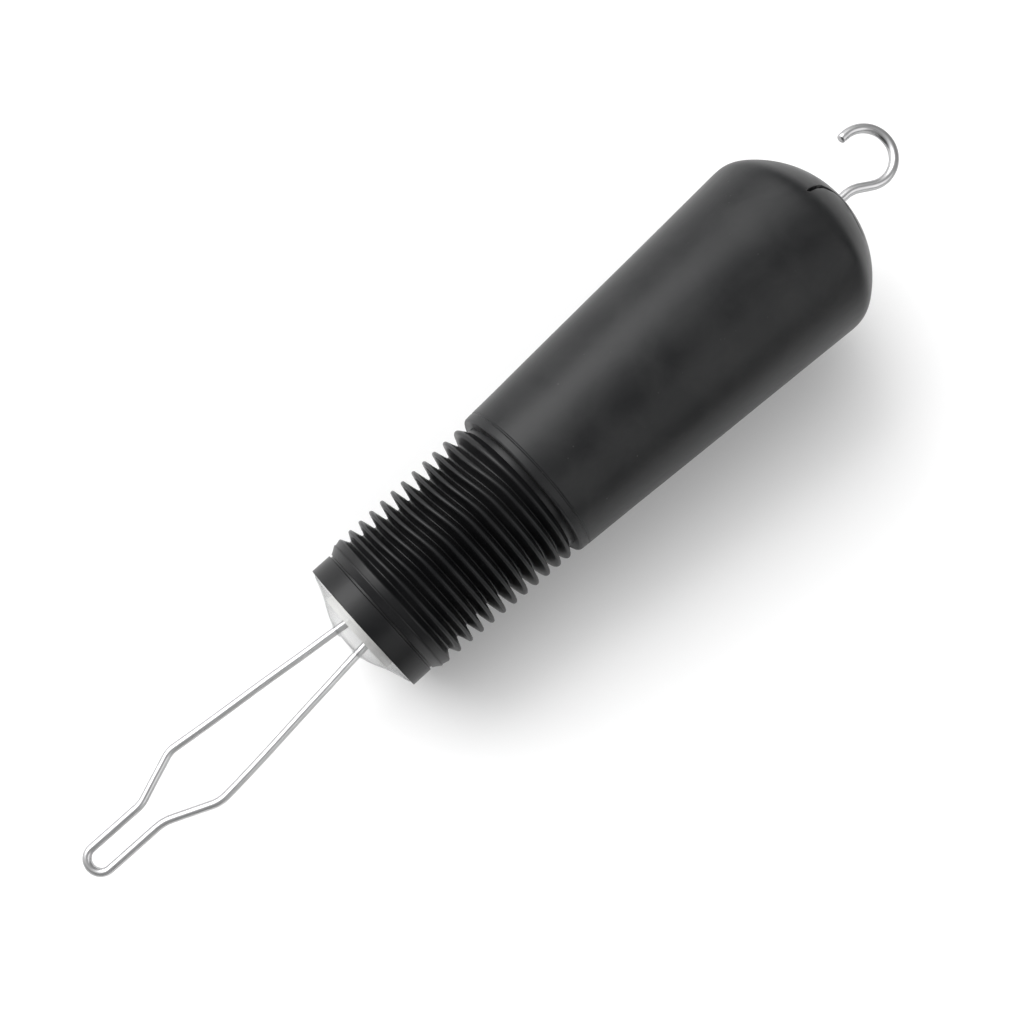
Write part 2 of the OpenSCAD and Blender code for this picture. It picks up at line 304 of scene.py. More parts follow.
def rubberMaterial(name, kind):
    material, tree, shader = newMaterial(name, Specular_IOR_Level=rubber["gloss"])
    place = addNode(tree, "TexCoord").outputs["Object"]
    cloud = noise(tree, place, rubber["cloud"], detail=4, roughness=0.55, distortion=0.4)
    start, full = rubber["cloudStops"]
    colour = ramp(tree, cloud, (start, kind["tone"]), (full, kind["dusty"]))
    # dust: round dots that show only where a second noise is high
    grains = addNode(tree, "TexVoronoi", Scale=rubber["grains"], Randomness=1.0)
    tree.links.new(place, grains.inputs["Vector"])
    start, full = rubber["flockStops"]
    flocks = ramp(tree, noise(tree, place, rubber["flocks"]), (start, 0.0), (full, kind["specks"]))
    dots = ramp(tree, grains.outputs["Distance"], (0.0, 1.0), (rubber["grainSize"], 0.0))
    dust = mix(tree, "MULTIPLY", 1.0, flocks, dots)
    tree.links.new(mix(tree, "MIX", dust, colour, rubber["speck"]), shader.inputs["Base Color"])
    scuffs = noise(tree, stretch(tree, place, rubber["scuff"]), 1.0, detail=6, roughness=0.65,
                   distortion=1.2)
    shine = mix(tree, "MIX", rubber["scuffShare"], cloud, scuffs)
    start, full = rubber["shineStops"]
    tree.links.new(ramp(tree, shine, (start, kind["smooth"]), (full, kind["rough"])),
                   shader.inputs["Roughness"])
    bumps(tree, shader,
          (noise(tree, place, rubber["skin"][0], detail=3, roughness=0.6), *rubber["skin"][1:]),
          (noise(tree, place, rubber["dents"][0], detail=3), *rubber["dents"][1:]),
          (scuffs, *rubber["scuffBump"]))
    return material


gripMaterial = rubberMaterial("gripRubber", gripRubber)
neckMaterial = rubberMaterial("neckRubber", neckRubber)


resin = {
    # the tones are dark so that, where the skin is seen edge-on, they draw the resin's outline as painted
    # shade; the milky patches are random haze
    "tone": (0.06, 0.063, 0.066),
    "milky": (0.16, 0.165, 0.17),
    "hazeStops": (0.35, 0.75),            # noise values at which the milky tone starts and is complete
    "haze": 240,                          # patches a metre
    "roughness": 0.06,
    "gloss": 0.6,
    # where the skin closes up edge-on, its dark tone is painted shade along the outline
    "edgeShadeOpacity": ((0.0, 0.07), (0.60, 0.13), (0.80, 0.34), (0.93, 0.85)),   # opacity, facing to edge-on
    "ripple": (190, 0.16, 0.25 * mm),     # patches a metre, strength and height
}


def resinMaterial():
    # the wires show straight through it, so it is a clear skin that closes up only where it is seen
    # edge-on, where its dark tone draws a thin grey outline of painted shade
    material, tree, shader = newMaterial("clearResin", Roughness=resin["roughness"],
                                         Specular_IOR_Level=resin["gloss"])
    place = addNode(tree, "TexCoord").outputs["Object"]
    haze = noise(tree, place, resin["haze"], detail=3, distortion=0.5)
    start, full = resin["hazeStops"]
    tree.links.new(ramp(tree, haze, (start, resin["tone"]), (full, resin["milky"])),
                   shader.inputs["Base Color"])
    # opacity follows facing, so the dark tone shows as painted shade only along the edge-on outline
    edge = addNode(tree, "LayerWeight", Blend=0.5).outputs["Facing"]
    tree.links.new(ramp(tree, edge, *resin["edgeShadeOpacity"]), shader.inputs["Alpha"])
    bumps(tree, shader, (noise(tree, place, resin["ripple"][0]), *resin["ripple"][1:]))
    return material


steel = {
    "tone": (0.60, 0.60, 0.605),
    "stained": (0.516, 0.516, 0.5203),
    "edgeTint": (0.25, 0.25, 0.25, 1),    # it reflects less just before it is seen edge-on
    "smooth": 0.24,
    "rough": 0.36,
    "lines": 9000,                        # drawing lines a metre round the wire
    "lineStretch": (1, 1, 0.03),          # they run far along it
    "lineShare": 0.35,                    # of the colour that they darken
    "lineStops": ((0.3, 0.72), (0.6, 1.0)),
    "stains": 300,                        # patches a metre
    "stainStops": (0.3, 0.75),
    "stainShare": 0.4,                    # of the shine that the stains change
    "shineStops": (0.3, 0.7),
    "lineBump": (0.10, 0.03 * mm),        # strength and height
    "dents": (700, 0.05, 0.04 * mm),      # patches a metre, strength and height
}


def steelMaterial():
    # the attribute holds each point's place round and along the wire, so the drawing lines follow it
    material, tree, shader = newMaterial("wireSteel", Metallic=1.0, Specular_Tint=steel["edgeTint"])
    drawn = addNode(tree, "Attribute", attribute_name="drawn").outputs["Vector"]
    place = addNode(tree, "TexCoord").outputs["Object"]
    lines = noise(tree, stretch(tree, drawn, steel["lineStretch"]), steel["lines"], detail=3,
                  roughness=0.6)
    stains = noise(tree, place, steel["stains"], detail=3)
    start, full = steel["stainStops"]
    colour = ramp(tree, stains, (start, steel["tone"]), (full, steel["stained"]))
    darker = ramp(tree, lines, *steel["lineStops"])
    tree.links.new(mix(tree, "MULTIPLY", steel["lineShare"], colour, darker), shader.inputs["Base Color"])
    shine = mix(tree, "MIX", steel["stainShare"], lines, stains)
    start, full = steel["shineStops"]
    tree.links.new(ramp(tree, shine, (start, steel["smooth"]), (full, steel["rough"])),
                   shader.inputs["Roughness"])
    bumps(tree, shader, (lines, *steel["lineBump"]),
          (noise(tree, place, steel["dents"][0]), *steel["dents"][1:]))
    return material


inner = {
    "plastic": ((0.82, 0.82, 0.80), (0.74, 0.74, 0.72)),   # tone, and tone of the darker patches
    "plasticRough": (0.35, 0.47),
    "crimped": ((0.60, 0.60, 0.61), (0.46, 0.46, 0.47)),
    "crimpedRough": (0.28, 0.40),
    "patches": 160,                       # a metre
    "toneStops": (0.3, 0.75),
    "shineStops": (0.3, 0.7),
    "grain": (1800, 0.12, 0.05 * mm),     # patches a metre, strength and height
}


def innerMaterial(name, tones, roughness, metallic):
    # an even tone with slow patches and a fine grain
    material, tree, shader = newMaterial(name, Metallic=metallic)
    place = addNode(tree, "TexCoord").outputs["Object"]
    patches = noise(tree, place, inner["patches"], detail=4)
    tree.links.new(ramp(tree, patches, *zip(inner["toneStops"], tones)), shader.inputs["Base Color"])
    tree.links.new(ramp(tree, patches, *zip(inner["shineStops"], roughness)), shader.inputs["Roughness"])
    bumps(tree, shader, (noise(tree, place, inner["grain"][0], detail=3), *inner["grain"][1:]))
    return material


clearResin = resinMaterial()
wireSteel = steelMaterial()
anchorPlastic = innerMaterial("corePlastic", inner["plastic"], inner["plasticRough"], 0.0)
ferruleSteel = innerMaterial("ferruleSteel", inner["crimped"], inner["crimpedRough"], 1.0)
print("materials made")


grip = {
    "frontRadius": 14.25 * mm,
    "edgeRound": 0.5 * mm,
    "domeLength": 11.7 * mm,
    "domeMiddle": 20 * mm,                # behind the dome's tip; the skin is pressed in towards it
    "shoulderRound": 3.6 * mm,
    "boreEnd": coreHigh.x,                # the blind bore for the core tube ends here
    "boreMiddle": 0.4 * mm,               # radius of the ring that closes the bore's end
    "tipRing": 0.12 * mm,                 # radius of the last ring before the dome's tip
    "boreStep": 9 * mm,                   # spacing of the outline's points in the bore,
    "coneStep": 0.7 * mm,                 # along the cone,
    "creaseStep": 0.085 * mm,             # and where the crease crosses the dome
    "creaseRadii": (11.0 * mm, 17.1 * mm),
    "fineTurns": (64, 132),               # degrees between which the crease lies
    "fineTurn": 0.55,
    "coarseTurn": 1.7,
    "wave": 0.035 * mm,                   # slow unevenness of the moulded skin
    "waveFront": (0, 8 * mm),             # behind the front edge: where it starts and is complete
    "waveTip": (2 * mm, 12 * mm),         # and in front of the dome's tip
    "lineBack": 1.7 * mm,                 # a fine moulded line runs round behind the front edge
    "lineReach": 0.4 * mm,                # closer points of the outline on both sides of it
    "lineWidth": 0.17 * mm,
    "lineDepth": 0.16 * mm,
    "soften": 2.4 * mm,                   # length over which the shoulder's bend blends into the dome
    # places (y, z) along the crease in the dome, in millimetres
    "crease": [(4.4, 16.5), (4.3, 16.0), (4.0, 15.0), (3.5, 14.0), (2.7, 13.3), (2.0, 12.6), (0.9, 12.0),
               (-0.9, 11.8), (-2.4, 12.1), (-3.8, 12.3), (-5.4, 12.3), (-7.1, 12.0), (-8.6, 11.4)],
    "wander": (0.05 * mm, 0.03 * mm),     # how far the crease wavers, slowly and quickly
    "openShare": 0.32,                    # of the crease that gapes; the rest is a fine fold
    "openFade": 0.12,                     # share of the crease over which the gape closes
    "openStart": (-0.03, 0.05),           # and where it starts, at the crease's upper end
    "foldFade": 0.5,                      # share of the crease over which the fold fades out
    "openWidth": 0.24 * mm,               # half widths and depths of the two parts
    "openDepth": 1.1 * mm,
    "foldWidth": 0.13 * mm,
    "foldDepth": 0.30 * mm,
    "pinch": 0.5 * mm,                    # how deep the skin dips round the hook's wire
    "pinchWidth": 1.3 * mm,
}


def gripOutline():
    # in two parts, the bore with the rounded front edge, and all that follows: a cone to a shoulder
    # arc tangent to it, then a dome arc tangent to the shoulder whose middle lies on the axis
    front, tip, widest = gripLow.x, gripHigh.x, gripHigh.z
    small, edge = grip["frontRadius"], grip["edgeRound"]
    coneEnd = tip - grip["domeLength"]
    taper = math.atan((widest - small) / (coneEnd - front))
    shoulder = (coneEnd + grip["shoulderRound"] * math.sin(taper),
                widest - grip["shoulderRound"] * math.cos(taper))
    back = tip - shoulder[0]
    domeRadius = ((back ** 2 + shoulder[1] ** 2 - grip["shoulderRound"] ** 2)
                  / (2 * (back - grip["shoulderRound"])))
    centre = tip - domeRadius
    turn = math.atan2(shoulder[1], shoulder[0] - centre)
    boreEnd, low, high = grip["boreEnd"], *grip["creaseRadii"]
    bore = evenly([(boreEnd, grip["boreMiddle"]), (boreEnd, coreRadius), (front, coreRadius)],
                  grip["boreStep"])
    nose = arc((front + edge, small - edge), edge, math.pi, math.pi / 2, 9)
    bend = arc(shoulder, grip["shoulderRound"], math.pi / 2 + taper, turn, 30)
    radii = np.concatenate([np.linspace(domeRadius * math.sin(turn), high, 4)[1:-1],
                            np.arange(high, low, -grip["creaseStep"]),
                            np.linspace(low, grip["tipRing"], 40)])
    dome = np.stack([centre + np.sqrt(domeRadius ** 2 - radii ** 2), radii], axis=1)
    line = front + grip["lineBack"] + grip["lineReach"] * np.linspace(-1, 1, 15)
    lineRadius = small + (line - front) * math.tan(taper)
    cone = np.vstack([[nose[-1]], np.stack([line, lineRadius], axis=1), [bend[0]]])
    outer = np.vstack([evenly(cone, grip["coneStep"])[1:], bend[1:], dome])
    return np.vstack([bore, nose]), soften(outer, grip["soften"])


def soften(outline, reach):
    # each point moves to the mean of the outline within half the reach on both sides of it, measured
    # along the outline: the bend then changes gradually, and straight stretches stay as they are
    length = np.concatenate([[0], np.cumsum(np.hypot(*np.diff(outline, axis=0).T))])
    nearerEnd = np.minimum(length, length[-1] - length)
    window = np.linspace(-0.5, 0.5, 41) * np.minimum(reach, 2 * nearerEnd)[:, None]
    at = length[:, None] + window
    return np.stack([np.interp(at, length, outline[:, i]).mean(axis=1) for i in (0, 1)], axis=1)


def groove(across, halfWidth):
    # a rounded trough: 1 in the middle, falling as exp(-(distance / half width)^4)
    return np.exp(-np.minimum(across / halfWidth, 4) ** 4)


def lineDistance(y, z, line):
    # distance from each point to a bent line, and the nearest place's share of the line's length:
    # every run of the line is tried, with the foot of the perpendicular kept between its two ends
    line = np.asarray(line, float) * mm
    start, run = line[:-1], np.diff(line, axis=0)
    size = np.hypot(run[:, 0], run[:, 1])
    dy, dz = y[..., None] - start[:, 0], z[..., None] - start[:, 1]
    foot = np.clip((dy * run[:, 0] + dz * run[:, 1]) / size ** 2, 0, 1)
    gap = np.hypot(dy - foot * run[:, 0], dz - foot * run[:, 1])
    nearest = gap.argmin(axis=-1)[..., None]
    along = np.take_along_axis(np.cumsum(size) - size + foot * size, nearest, -1)[..., 0]
    return gap.min(axis=-1), along / size.sum()


def gripSkin():
    # x and radius follow the outline, turned round the axis; the radius gets slow waves, and the
    # dome is pressed in by the crease and by the dip round the wire
    inside, outside = gripOutline()
    outline = np.vstack([inside, outside])
    outer = np.arange(len(outline))[:, None] >= len(inside)
    turn = spread(grip["fineTurns"], grip["fineTurn"], grip["coarseTurn"])
    x = outline[:, :1] + 0 * turn
    radius = outline[:, 1:] + 0 * turn
    wave = (np.sin(2 * turn + 90 * x) * np.cos(70 * x + 1.3) + 0.6 * np.sin(3 * turn - 160 * x + 0.7)
            + 0.4 * np.sin(5 * turn + 240 * x))
    # the waves fade out near the front edge and the dome's tip
    fromFront, fromTip = x - gripLow.x, gripHigh.x - x
    ends = swell(fromFront, *grip["waveFront"]) * swell(fromTip, *grip["waveTip"])
    radius = radius - outer * grip["wave"] * ends * (1 + wave / 2)
    lineAway = np.abs(fromFront - grip["lineBack"])
    radius = radius - outer * grip["lineDepth"] * groove(lineAway, grip["lineWidth"])
    y, z = radius * np.cos(turn), radius * np.sin(turn)
    onDome = fromTip < grip["domeLength"]
    # the crease gapes at its upper end and closes to a fine fold that fades out
    wander = grip["wander"][0] * np.sin(1900 * y + 1) + grip["wander"][1] * np.sin(5200 * y)
    gap, share = lineDistance(y, z + wander, grip["crease"])
    left = grip["openShare"] + grip["openFade"] / 2 - share
    opened = swell(left, 0, grip["openFade"]) * swell(share, *grip["openStart"])
    width = grip["foldWidth"] + (grip["openWidth"] - grip["foldWidth"]) * opened
    fold = grip["foldDepth"] * swell(1 - share, 0, grip["foldFade"])
    depth = grip["openDepth"] * opened + fold * (1 - opened)
    crease = depth * groove(gap, width)
    pinch = grip["pinch"] * np.exp(-(radius / grip["pinchWidth"]) ** 2)
    press = onDome * np.maximum(crease, pinch)
    # the skin is pressed along its own normal, close to straight in towards the dome's middle
    inward = np.stack([grip["domeMiddle"] - fromTip, y, z], axis=-1)
    inward = inward / np.linalg.norm(inward, axis=-1, keepdims=True)
    points = np.stack([x, y, z], axis=-1) - press[..., None] * inward
    return skin(points)


addPiece("grip_skin", *gripSkin(), "grip_body", "grip_rubber", gripMaterial)


neck = {
    "finCount": 12,
    "pitch": 2.34 * mm,
    "lead": 2.95 * mm,                    # from the neck's front face to the first fin's tip
    "frontRadius": 13.1 * mm,             # over the first fin
    "rearRadius": 13.9 * mm,              # over the last fin
    "wall": 1.5 * mm,                     # left between the core and the deepest groove
    "frontDepth": 0.30 * mm,
    "rearDepth": 1.4 * mm,
    "depthPower": 0.7,                    # under 1: grooves deepen fast at the neck's ends
    "tipRound": 0.38 * mm,
    "grooveRound": 0.22 * mm,
    "beadHeight": 0.75 * mm,              # of the ring before the first fin, over the collar
    "beadSlope": 1.1 * mm,                # length along which it rises
    "beadLand": 0.25 * mm,                # from the end of the rise to the middle of its rounding
    "beadRound": 0.3 * mm,
    "beadStart": (0.5, 0.36),             # of the slope and of the height, where the rise steepens
    "edgeRound": 0.12 * mm,               # at the joint line
    "spacing": 0.45 * mm,                 # of the outline's points
    "shift": 0.40 * mm,                   # how far the visible joint line is behind the collar's own
    "lean": 0.085,                        # the soft fins lean this much on their +Y side, along over up
    "tilt": 0.022,                        # and this much as a whole, along over sideways
    "leanAcross": 11 * mm,                # where the lean is complete, from the axis towards +Y
    "leanAlong": 14 * mm,                 # and behind the neck's front
    "wobble": 0.05 * mm,
    "finHeight": 3 * mm,                  # over the grooves' deepest place, where it is complete
    "frontFade": (1 * mm, 7 * mm),        # behind the neck's front: where fins start to move freely,
    "rearFade": (0.5 * mm, 5 * mm),       # and where they do so fully; the same before its rear
}


def neckOutline():
    # for each fin a round tip, then a round groove, joined by the line tangent to both; the grooves'
    # depth follows a raised sine along the neck
    p, tip, bottom, count = neck["pitch"], neck["tipRound"], neck["grooveRound"], neck["finCount"]
    middle = (neck["frontRadius"] + neck["rearRadius"]) / 2 - coreRadius - neck["wall"]

    def depth(i):
        ends = neck["frontDepth"] + (neck["rearDepth"] - neck["frontDepth"]) * i / count
        return ends + (middle - ends) * max(0.0, math.sin(math.pi * i / count)) ** neck["depthPower"]

    def flank(i):
        up = depth(i) - tip - bottom
        return math.atan2(up, p / 2) + math.asin((tip + bottom) / math.hypot(p / 2, up))

    front = neckLow.x + neck["shift"]
    collarRadius = collarHigh.z
    first = neckLow.x + neck["lead"]
    edge, slope = neck["edgeRound"], neck["beadSlope"]
    height, around = neck["beadHeight"], neck["beadRound"]
    bead = (front + slope + neck["beadLand"], collarRadius + height - around)
    outline = [
        [(neckHigh.x, coreRadius), (front, coreRadius), (front, collarRadius - edge)],
        arc((front + edge, collarRadius - edge), edge, math.pi, math.pi * 0.62, 4),
        [(front + slope * neck["beadStart"][0], collarRadius + height * neck["beadStart"][1])],
        arc(bead, around, math.pi * 0.72, math.pi * 0.35, 6),
        [(first - p / 2, neck["frontRadius"] - neck["frontDepth"])],
    ]
    for i in range(count):
        x = first + i * p
        top = neck["frontRadius"] + (neck["rearRadius"] - neck["frontRadius"]) * i / (count - 1)
        outline.append(arc((x, top - tip), tip, math.pi / 2 + flank(i), math.pi / 2 - flank(i + 1),
                           9))
        if i < count - 1:
            outline.append(arc((x + p / 2, top - depth(i + 1) + bottom), bottom,
                               math.pi * 1.5 - flank(i + 1), math.pi * 1.5 + flank(i + 1), 7))
    rear = neck["rearRadius"] - neck["rearDepth"]
    outline.append([(first + (count - 0.5) * p, rear), (neckHigh.x, rear), (neckHigh.x, coreRadius)])
    return evenly(np.vstack(outline), neck["spacing"])


def neckSkin():
    # the outline turned round the axis; the fins lean along x by a share of their height z on the +Y
    # side, tilt by a share of y, and each fin's tip wanders by its own waves
    outline = neckOutline()
    turn = np.radians(np.arange(0, 360, 1.5))
    x, radius = outline[:, :1] + 0 * turn, outline[:, 1:] + 0 * turn
    height = np.clip((radius - coreRadius - neck["wall"]) / neck["finHeight"], 0, 1)
    fromFront, fromRear = x - neckLow.x, neckHigh.x - x
    within = swell(fromFront, *neck["frontFade"]) * swell(fromRear, *neck["rearFade"])
    fin = np.round((fromFront - neck["lead"]) / neck["pitch"])
    wander = neck["wobble"] * (np.sin(turn + 1.9 * fin) + 0.5 * np.sin(2 * turn + 4.1 * fin)) * height
    y, z = radius * np.cos(turn), radius * np.sin(turn)
    lean = neck["lean"] * z * swell(y, 0, neck["leanAcross"]) * swell(fromFront, 0, neck["leanAlong"])
    points = np.stack([x + within * (wander - neck["tilt"] * y - lean), y, z], axis=-1)
    return closedSkin(points[:-1])            # the outline ends where it starts


addPiece("neck_skin", *neckSkin(), "ribbed_neck", "neck_rubber", neckMaterial)


collar = {
    "rimWidth": 0.7 * mm,
    "seatWall": 1.7 * mm,
    "seatDepth": 2.2 * mm,
    "length": 3.68 * mm,
    "cornerRound": 0.12 * mm,
    "jointSeen": 0.34 * mm,               # how deep the eye sees into the joint line
    "jointRound": 0.16 * mm,              # of the edge before it
    "mouthRound": 0.05 * mm,
    "stepBack": 0.02 * mm,                # of the joint line's floor from its two walls
    "spacing": 0.4 * mm,                  # of the outline's points
    "wander": 0.02 * mm,                  # the moulded rim isn't quite level
    "wanderDepth": 1.2 * mm,              # behind the rim, where it has died out
}


def collarSkin():
    # a closed outline turned round the axis: rim, plain band, joint line, back face and stepped seat
    outer, end = collarHigh.z, collarHigh.x + neck["shift"]
    mouth, seat = outer - collar["rimWidth"], outer - collar["seatWall"]
    r, low, lip = collar["cornerRound"], outer - collar["jointSeen"], collar["jointRound"]
    joint, soft, step = collar["length"], collar["mouthRound"], collar["stepBack"]
    outline = np.vstack([
        [(soft, mouth)],
        arc((r, outer - r), r, math.pi, math.pi / 2, 7),
        arc((joint - lip, outer - lip), lip, math.pi / 2, 0, 6),
        [(joint + step, low), (end - step, low), (end, low - soft), (end, coreRadius),
         (collar["seatDepth"], coreRadius), (collar["seatDepth"], seat),
         (mouth - seat, seat)],
    ])
    outline = evenly(np.vstack([outline, outline[:1]]), collar["spacing"])[:-1]
    turn = np.radians(np.arange(0, 360, 1.2))
    x, radius = outline[:, :1] + 0 * turn, outline[:, 1:] + 0 * turn
    y, z = radius * np.cos(turn), radius * np.sin(turn)
    waves = 1 + 0.6 * np.sin(3 * turn + 0.6) + 0.4 * np.sin(7 * turn)
    rim = swell(-x, -collar["wanderDepth"], 0) * collar["wander"] * waves
    return closedSkin(np.stack([x + rim, y, z], axis=-1))


addPiece("collar_skin", *collarSkin(), "front_collar", "neck_rubber", neckMaterial)


loop = {
    "wire": 1.38 * mm,
    "wideY": 5.5 * mm,                    # half the width at the widest bends
    "wideFromTip": 20.9 * mm,
    "noseY": 2.0 * mm,
    "noseFromTip": 12.5 * mm,
    "wideRound": 4 * mm,
    "noseRound": 5 * mm,
    "ferruleRound": 2 * mm,
    "ferruleEntry": 0.9 * mm,
    "ferruleLength": 6.5 * mm,
    "gap": 0.02 * mm,
    "spacing": 0.35 * mm,                 # of the rings of points along the wire
    "sides": 32,
    "lean": 0.9,                          # degrees that the loop leans to one side
    "unevenness": 0.05 * mm,              # of wire bent by hand
    "unevenRate": 260,                    # radians a metre of its slow wave
    "unevenFrom": (4 * mm, 12 * mm),      # in front of the rim: where it starts and is complete
    "drift": (-0.18 * mm, -0.48 * mm),    # how far the +Y and -Y legs stand off their true lines
    "driftFrom": (1.4 * mm, 26 * mm),
    "skew": 0.8 * mm,                     # the -Y leg bends this much nearer the grip
    "skewRound": 1.6 * mm,                # and that much more gently
}


def carried(stations, radii, sides, lean=0.0):
    # a ring of points round each station, at right angles to its heading:
    # place + radius * (cos * sideways + sin * up)
    x, y, heading = (stations[:, i][:, None] for i in range(3))
    turn = np.linspace(0, 2 * math.pi, sides, endpoint=False)
    r = np.asarray(radii)[:, None]
    px, py = x - r * np.cos(turn) * np.sin(heading), y + r * np.cos(turn) * np.cos(heading)
    pz = r * np.sin(turn) + 0 * x
    c, s = math.cos(lean), math.sin(lean)
    points = np.stack([c * px - s * py, s * px + c * py, pz], axis=-1)
    length = np.cumsum(np.hypot(*np.diff(stations[:, :2], axis=0, prepend=stations[:1, :2]).T))
    drawn = np.stack([r * np.cos(turn), r * np.sin(turn), length[:, None] + 0 * turn], axis=-1)
    return points, drawn.reshape(-1, 3)


def markDrawn(piece, drawn):
    count = len(piece.data.vertices)
    values = np.vstack([drawn, np.repeat(drawn[-1:], count - len(drawn), axis=0)])
    layer = piece.data.attributes.new("drawn", "FLOAT_VECTOR", "POINT")
    layer.data.foreach_set("vector", values.astype(np.float32).ravel())


def loopSkin():
    # two legs on both sides of the lean line, the -Y one with its bends nearer the grip, and a half
    # circle that joins them at the nose
    r = loop["wire"] / 2
    tip, start = loopLow.x, ferruleLow.x
    inside = r + loop["gap"]
    bend = start + loop["ferruleEntry"]
    slope = (loop["wideY"] - inside) / (bend - tip - loop["wideFromTip"])
    noseX = tip + r + loop["noseY"]

    def leg(skew, gentler):
        corners = [(start + loop["ferruleLength"], inside), (bend, inside),
                   (tip + loop["wideFromTip"] + skew, loop["wideY"] - slope * skew),
                   (tip + loop["noseFromTip"] + skew, loop["noseY"]),
                   (noseX, loop["noseY"])]
        radii = [0, loop["ferruleRound"], loop["wideRound"] + gentler, loop["noseRound"] + gentler, 0]
        return rounded(corners, radii, loop["spacing"])

    turn = np.linspace(math.pi, 2 * math.pi, 26)[1:-1]
    nose = np.stack([noseX + loop["noseY"] * np.sin(turn), -loop["noseY"] * np.cos(turn), turn], axis=1)
    left = leg(0, 0)
    right = leg(loop["skew"], loop["skewRound"])[::-1] * [1, -1, -1]
    right[:, 2] += 3 * math.pi
    stations = np.vstack([left, nose, right])
    # drift: it eases in ahead of the anchor's face and changes over smoothly round the nose
    side = np.concatenate([0 * left[:, 0], (1 - np.cos(turn - math.pi)) / 2, 0 * right[:, 0] + 1])
    drift = loop["drift"][0] + (loop["drift"][1] - loop["drift"][0]) * side
    uneven = loop["unevenness"] * np.sin(loop["unevenRate"] * stations[:, 0])
    ahead = -stations[:, 0]
    stations[:, 1] += drift * swell(ahead, *loop["driftFrom"])
    stations[:, 1] += uneven * swell(ahead, *loop["unevenFrom"])
    return carried(stations, np.full(len(stations), r), loop["sides"], -math.radians(loop["lean"]))


loopPoints, loopDrawn = loopSkin()
loopPiece = addPiece("loop_wire", *skin(loopPoints), "button_loop", "wire_steel", wireSteel)
markDrawn(loopPiece, loopDrawn)


hook = {
    "wire": 1.7 * mm,
    "bend": 5.15 * mm,                    # to the middle of the wire
    "reach": 10.9 * mm,                   # from the dome's tip to the middle of the bend
    "offset": 2.6 * mm,
    "slope": 29,                          # degrees that the wire bends away before it curls round
    "shankRound": 5.5 * mm,
    "endLength": 0.45 * mm,
    "shankY": 0.2 * mm,
    "spacing": 0.35 * mm,
    "sides": 32,
    "chamfer": 0.28 * mm,                 # of the nipped and filed end
    "chamferBack": (3.0, 1.0, 0.45, 0.12, 0.0),    # rings at these shares of it before the end,
    "chamferIn": (0.0, 0.0, 0.30, 0.68, 1.0),      # drawn in by these shares of it
}


def hookSkin():
    # a straight shank, a gentle bend away, then a round bend of a bit over half a turn
    r, slope = hook["wire"] / 2, math.radians(hook["slope"])
    centre = np.array([gripHigh.x + hook["reach"], hook["shankY"] + hook["offset"]])
    start = centre - hook["bend"] * np.array([math.sin(slope), math.cos(slope)])
    shankEnd = start[0] - (hook["shankY"] - start[1]) / math.tan(slope)
    shank = rounded([(hookLow.x, hook["shankY"]), (shankEnd, hook["shankY"]), tuple(start)],
                    [0, hook["shankRound"], 0], hook["spacing"])
    turn = np.linspace(-slope, math.pi, 70)[1:]
    curl = np.stack([centre[0] + hook["bend"] * np.sin(turn),
                     centre[1] - hook["bend"] * np.cos(turn), turn], axis=1)
    endX = centre[0] - hook["endLength"] - r
    last = np.array([(endX + step * hook["chamfer"], centre[1] + hook["bend"], math.pi)
                     for step in hook["chamferBack"]])
    stations = np.vstack([shank, curl, last])
    radii = np.full(len(stations), r)
    radii[-len(last):] -= hook["chamfer"] * np.array(hook["chamferIn"])
    return carried(stations, radii, hook["sides"])


hookPoints, hookDrawn = hookSkin()
hookPiece = addPiece("hook_wire", *skin(hookPoints), "zipper_hook", "wire_steel", wireSteel)
markDrawn(hookPiece, hookDrawn)


plug = {
    "rise": 3.5 * mm,
    "bossRadius": 7.3 * mm,               # where the dome has fallen to half its height
    "bossPower": 4,
    "lipPower": 12,
    "back": 2.18 * mm,                    # its back face, behind the rim
    "backRing": 0.5 * mm,                 # radius of the ring that closes the back face
    "mouthStep": 0.02 * mm,               # from the dome's edge to the wall behind it
    "rimWidth": 0.7 * mm,
    "seatWall": 1.7 * mm,
    "clear": 0.015 * mm,                  # kept off the collar's seat
    "ripple": 0.06 * mm,                  # of the poured face
    "wireY": 2.35 * mm,                   # where the loop's wires come out
    "meniscus": 0.30 * mm,                # how high the resin climbs each wire
    "meniscusWidth": 0.5 * mm,
}


def plugSkin():
    # height of the dome at a distance q from the axis, as a share of the rise:
    # (1 - (q / mouth)^12)^(1/2) / (1 + (q / boss)^4), plus a small skirt round each wire
    mouth = collarHigh.z - plug["rimWidth"] - plug["clear"]
    seat = collarHigh.z - plug["seatWall"] - plug["clear"]
    radii = np.concatenate([np.linspace(0.02, 0.9, 44), 1 - np.geomspace(0.09, 0.0005, 22)]) * mouth
    turn = np.radians(np.arange(0, 360, 2.0))
    q = radii[:, None] + 0 * turn
    lip = np.sqrt(np.maximum(0, 1 - (q / mouth) ** plug["lipPower"]))
    share = lip / (1 + (q / plug["bossRadius"]) ** plug["bossPower"])
    y, z = q * np.cos(turn), q * np.sin(turn)
    x = share * (plug["ripple"] * np.sin(2 * turn + 0.8) - plug["rise"])
    for wireY in (plug["wireY"], -plug["wireY"]):
        reach = np.maximum(0, np.hypot(y - wireY, z) - loop["wire"] / 2)
        x = x - plug["meniscus"] * np.exp(-reach / plug["meniscusWidth"])
    front = np.stack([x, y, z], axis=-1)
    sides = np.array([(plug["mouthStep"], mouth), (mouth - seat, seat), (plug["back"], seat),
                      (plug["back"], plug["backRing"])])
    back = np.stack([sides[:, :1] + 0 * turn, sides[:, 1:] * np.cos(turn),
                     sides[:, 1:] * np.sin(turn)], axis=-1)
    return skin(np.concatenate([front, back]))


addPiece("plug_resin", *plugSkin(), "end_plug", "clear_resin", clearResin, 30)
print("pieces made")


